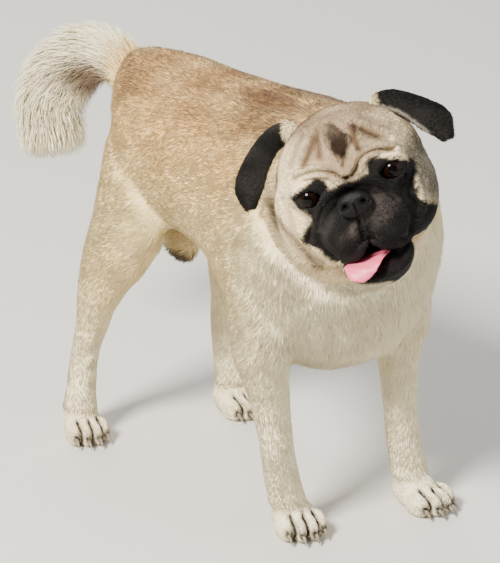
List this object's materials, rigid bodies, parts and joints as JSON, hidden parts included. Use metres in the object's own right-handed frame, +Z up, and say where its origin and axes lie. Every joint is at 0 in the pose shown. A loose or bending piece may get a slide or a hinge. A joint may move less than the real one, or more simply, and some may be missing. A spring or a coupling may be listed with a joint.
{
  "type": "pug",
  "caption": "Life-size still model of a young fawn pug standing with its head turned to its right, its mouth open and its bushy tail hanging behind.",
  "frame": {"origin": "on the floor under the middle of the whole model's box", "axes": "+Z up, -Y the way the body faces, +X the dog's left side"},
  "size_m": [0.2044, 0.5296, 0.353],
  "materials": {
    "coat": "short fawn and cream dog coat",
    "head_coat": "short fawn coat with a black mask",
    "tail_coat": "long cream tail hair",
    "paw_coat": "short pale coat",
    "ear_velvet": "short black velvety hair",
    "nose_leather": "moist pebbled nose leather",
    "eye": "dark brown eye under a clear wet cornea",
    "tongue": "wet pink tongue",
    "claw_horn": "pale worn horn",
    "collar_webbing": "dark woven webbing"
  },
  "bodies": {
    "root": {"chest": "coat", "claw_forepaw_left_1": "claw_horn", "claw_forepaw_left_2": "claw_horn", "claw_forepaw_left_3": "claw_horn", "claw_forepaw_left_4": "claw_horn", "claw_forepaw_right_1": "claw_horn", "claw_forepaw_right_2": "claw_horn", "claw_forepaw_right_3": "claw_horn", "claw_forepaw_right_4": "claw_horn", "claw_hindpaw_left_1": "claw_horn", "claw_hindpaw_left_2": "claw_horn", "claw_hindpaw_left_3": "claw_horn", "claw_hindpaw_left_4": "claw_horn", "claw_hindpaw_right_1": "claw_horn", "claw_hindpaw_right_2": "claw_horn", "claw_hindpaw_right_3": "claw_horn", "claw_hindpaw_right_4": "claw_horn", "collar": "collar_webbing", "ear_left": "ear_velvet", "ear_right": "ear_velvet", "eye_left": "eye", "eye_right": "eye", "forearm_left": "coat", "forearm_right": "coat", "forepaw_left": "paw_coat", "forepaw_right": "paw_coat", "head": "head_coat", "hind_foot_left": "coat", "hind_foot_right": "coat", "hindpaw_left": "paw_coat", "hindpaw_right": "paw_coat", "loin": "coat", "neck": "coat", "nose": "nose_leather", "pastern_left": "coat", "pastern_right": "coat", "rump": "coat", "shank_left": "coat", "shank_right": "coat", "shoulder_left": "coat", "shoulder_right": "coat", "tail_brush": "tail_coat", "tail_root": "tail_coat", "thigh_left": "coat", "thigh_right": "coat", "tongue": "tongue"}
  },
  "joints": []
}
